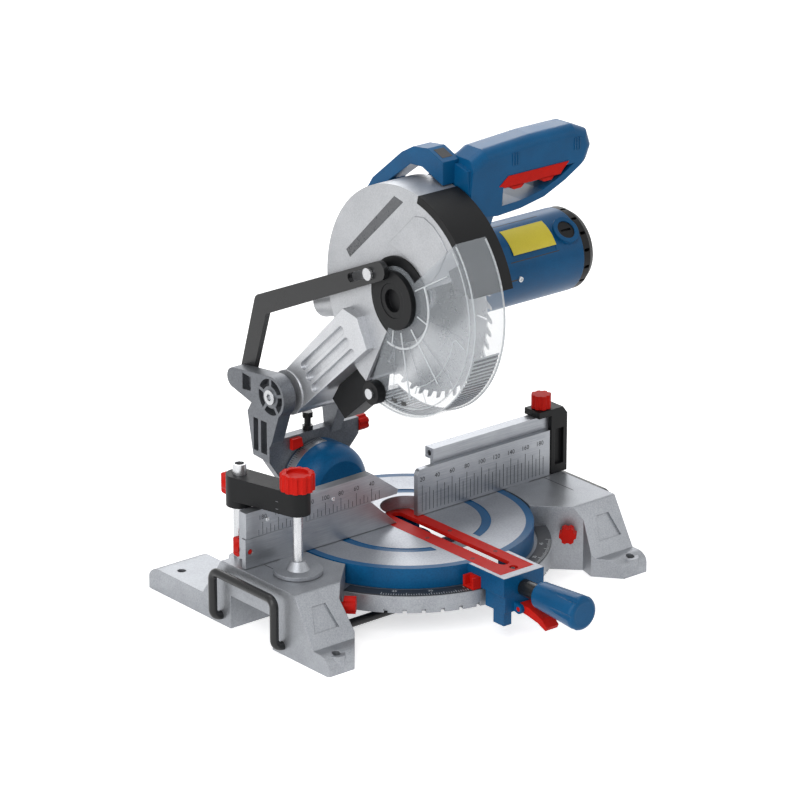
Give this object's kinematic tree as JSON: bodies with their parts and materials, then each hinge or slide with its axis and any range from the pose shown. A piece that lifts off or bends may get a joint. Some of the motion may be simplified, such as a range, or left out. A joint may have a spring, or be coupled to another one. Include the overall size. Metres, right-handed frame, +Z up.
{
  "type": "mitre saw",
  "caption": "Benchtop compound mitre saw: a footed base with a swivelling table, fences, a work clamp and a tilting, chopping head with a blade in a lifting guard.",
  "frame": {"origin": "on the bench plane, on the swivel axis of the table", "axes": "+Z up, +X to the operator's right along the fence, +Y from the operator towards the fence"},
  "size_m": [0.453, 0.4931, 0.476],
  "materials": {
    "cast_aluminium": "satin cast",
    "grey_casting": "painted cast",
    "blue_casting": "painted cast",
    "blue_plastic": "moulded",
    "black_plastic": "moulded",
    "red_plastic": "moulded",
    "clear_plastic": "clear",
    "dark_scale": "printed scale",
    "black_steel": "black coated",
    "bright_steel": "turned",
    "blade_steel": "ground"
  },
  "bodies": {
    "base": {"base_casting": "cast_aluminium", "base_ring": "cast_aluminium", "mitre_scale": "dark_scale", "turntable_bolt": "bright_steel", "fence_casting": "cast_aluminium", "fence_bolts": "bright_steel"},
    "turntable": {"turntable": "blue_casting", "table_insert": "red_plastic", "mitre_pointer": "red_plastic", "tilt_bolt": "bright_steel"},
    "mitre_knob": {"mitre_lock_rod": "black_steel", "mitre_lock_knob": "blue_plastic"},
    "detent_lever": {"detent_lever": "red_plastic"},
    "bevel_arm": {"bevel_arm": "grey_casting", "bevel_pointer": "red_plastic", "chop_shaft": "bright_steel", "depth_stop": "bright_steel"},
    "bevel_lever": {"bevel_lock_lever": "red_plastic"},
    "travel_lock": {"travel_lock_pin": "red_plastic"},
    "head": {"saw_arm": "cast_aluminium", "upper_guard": "cast_aluminium", "guard_front_cover": "grey_casting", "hub_cover": "black_plastic", "gear_housing": "cast_aluminium", "bearings": "bright_steel", "motor_housing": "blue_plastic", "brush_caps": "black_plastic", "motor_end_cap": "black_plastic", "main_handle": "blue_plastic", "carry_handle": "blue_plastic", "dust_chute": "black_plastic"},
    "guard_link": {"guard_link": "black_steel"},
    "lower_guard": {"lower_guard": "clear_plastic", "guard_hub": "black_plastic", "guard_screws": "bright_steel"},
    "guard_roller": {"guard_roller": "black_plastic"},
    "blade": {"blade": "blade_steel", "blade_flanges": "bright_steel", "arbor_bolt": "bright_steel", "arbor": "bright_steel", "drive_wheel": "bright_steel"},
    "armature": {"armature": "bright_steel"},
    "trigger": {"trigger": "red_plastic"},
    "left_lock_off": {"left_lock_off": "red_plastic"},
    "right_lock_off": {"right_lock_off": "red_plastic"},
    "left_extension": {"left_extension_bar": "black_steel"},
    "right_extension": {"right_extension_bar": "black_steel"},
    "left_extension_knob": {"left_extension_knob": "red_plastic"},
    "right_extension_knob": {"right_extension_knob": "red_plastic"},
    "left_fence": {"left_sliding_fence": "cast_aluminium"},
    "left_fence_screw": {"left_fence_screw": "red_plastic"},
    "right_fence": {"right_sliding_fence": "cast_aluminium", "right_fence_post": "black_plastic"},
    "right_fence_knob": {"right_fence_knob": "red_plastic"},
    "clamp_column": {"clamp_column": "bright_steel"},
    "clamp_arm": {"clamp_arm": "black_plastic"},
    "clamp_wing_screw": {"clamp_wing_screw": "red_plastic"},
    "clamp_pad": {"clamp_pad": "cast_aluminium"},
    "clamp_screw": {"clamp_spindle": "bright_steel", "clamp_knob": "red_plastic"}
  },
  "joints": [
    {"name": "mitre_swivel", "type": "hinge", "parent": "base", "child": "turntable", "pos_m": [0, 0, 0.05], "axis": [0, 0, 1], "range_deg": [-48, 48]},
    {"name": "bevel_tilt", "type": "hinge", "parent": "turntable", "child": "bevel_arm", "pos_m": [0, 0.15, 0.07], "axis": [0, 1, 0], "range_deg": [-45, 1]},
    {"name": "chop", "type": "hinge", "parent": "bevel_arm", "child": "head", "pos_m": [0, 0.148, 0.176], "axis": [1, 0, 0], "range_deg": [0, 47], "stiffness_Nm_per_rad": 8, "springref_deg": -126.05},
    {"name": "guard_link_swing", "type": "hinge", "parent": "bevel_arm", "child": "guard_link", "pos_m": [0, 0.21, 0.18], "axis": [1, 0, 0], "range_deg": [0, 52]},
    {"name": "guard_swing", "type": "hinge", "parent": "head", "child": "lower_guard", "pos_m": [0, -0.022, 0.322], "axis": [1, 0, 0], "range_deg": [-124, 0]},
    {"name": "guard_roller_spin", "type": "hinge", "parent": "lower_guard", "child": "guard_roller", "pos_m": [0, 0.00621, 0.21671], "axis": [1, 0, 0], "continuous": true},
    {"name": "blade_spin", "type": "hinge", "parent": "head", "child": "blade", "pos_m": [0, -0.022, 0.322], "axis": [1, 0, 0], "continuous": true},
    {"name": "armature_spin", "type": "hinge", "parent": "head", "child": "armature", "pos_m": [0, 0.01101, 0.31498], "axis": [1, 0, 0], "continuous": true},
    {"name": "trigger_pull", "type": "slide", "parent": "head", "child": "trigger", "axis": [0, 0, 1], "range_m": [0, 0.004], "stiffness_N_per_m": 1200, "springref_m": -0.004},
    {"name": "left_lock_off_slide", "type": "slide", "parent": "trigger", "child": "left_lock_off", "axis": [1, 0, 0], "range_m": [0, 0.005], "stiffness_N_per_m": 400, "springref_m": -0.002},
    {"name": "right_lock_off_slide", "type": "slide", "parent": "trigger", "child": "right_lock_off", "axis": [-1, 0, 0], "range_m": [0, 0.005], "stiffness_N_per_m": 400, "springref_m": -0.002},
    {"name": "mitre_lock_turn", "type": "hinge", "parent": "turntable", "child": "mitre_knob", "pos_m": [0, -0.2, 0.055], "axis": [0, 1, 0], "range_deg": [-90, 180]},
    {"name": "detent_press", "type": "hinge", "parent": "turntable", "child": "detent_lever", "pos_m": [0, -0.188, 0.036], "axis": [1, 0, 0], "range_deg": [0, 12], "stiffness_Nm_per_rad": 2, "springref_deg": -14.32},
    {"name": "bevel_lock_turn", "type": "hinge", "parent": "turntable", "child": "bevel_lever", "pos_m": [0, 0.175, 0.07], "axis": [0, 1, 0], "range_deg": [0, 35]},
    {"name": "travel_lock_pull", "type": "slide", "parent": "bevel_arm", "child": "travel_lock", "axis": [1, 0, 0], "range_m": [0, 0.008]},
    {"name": "left_extension_slide", "type": "slide", "parent": "base", "child": "left_extension", "axis": [-1, 0, 0], "range_m": [0, 0.08]},
    {"name": "right_extension_slide", "type": "slide", "parent": "base", "child": "right_extension", "axis": [1, 0, 0], "range_m": [0, 0.08]},
    {"name": "left_extension_lock", "type": "hinge", "parent": "base", "child": "left_extension_knob", "pos_m": [-0.151, -0.079, 0.043], "axis": [0.7071, -0.7071, 0], "range_deg": [-90, 180]},
    {"name": "right_extension_lock", "type": "hinge", "parent": "base", "child": "right_extension_knob", "pos_m": [0.151, -0.079, 0.043], "axis": [-0.7071, -0.7071, 0], "range_deg": [-90, 180]},
    {"name": "left_fence_slide", "type": "slide", "parent": "base", "child": "left_fence", "axis": [-1, 0, 0], "range_m": [0, 0.095]},
    {"name": "left_fence_lock", "type": "hinge", "parent": "base", "child": "left_fence_screw", "pos_m": [-0.203, 0.015, 0.088], "axis": [0, 1, 0], "range_deg": [-90, 180]},
    {"name": "right_fence_slide", "type": "slide", "parent": "base", "child": "right_fence", "axis": [1, 0, 0], "range_m": [0, 0.095]},
    {"name": "right_fence_lock", "type": "hinge", "parent": "right_fence", "child": "right_fence_knob", "pos_m": [0.1925, 0.0128, 0.15], "axis": [0, 0, 1], "range_deg": [-90, 180]},
    {"name": "clamp_swing", "type": "hinge", "parent": "base", "child": "clamp_column", "pos_m": [-0.19, 0.033, 0.1], "axis": [0, 0, 1], "range_deg": [-60, 0]},
    {"name": "clamp_height", "type": "slide", "parent": "clamp_column", "child": "clamp_arm", "axis": [0, 0, 1], "range_m": [0, 0.02]},
    {"name": "clamp_arm_lock", "type": "hinge", "parent": "clamp_arm", "child": "clamp_wing_screw", "pos_m": [-0.19, 0.05, 0.142], "axis": [0, 1, 0], "range_deg": [-90, 180]},
    {"name": "clamp_feed", "type": "slide", "parent": "clamp_arm", "child": "clamp_pad", "axis": [0, 0, 1], "range_m": [0, 0.024]},
    {"name": "clamp_screw_turn", "type": "hinge", "parent": "clamp_pad", "child": "clamp_screw", "pos_m": [-0.1725, -0.038, 0.1], "axis": [0, 0, 1], "range_deg": [0, 2160]}
  ],
  "couplings": [
    {"joint": "guard_link_swing", "follows": "chop", "ratio": 1.08},
    {"joint": "guard_swing", "follows": "chop", "ratio": -2.6},
    {"joint": "armature_spin", "follows": "blade_spin", "ratio": -5},
    {"joint": "clamp_screw_turn", "follows": "clamp_feed", "rad_per_m": 1570.8}
  ]
}
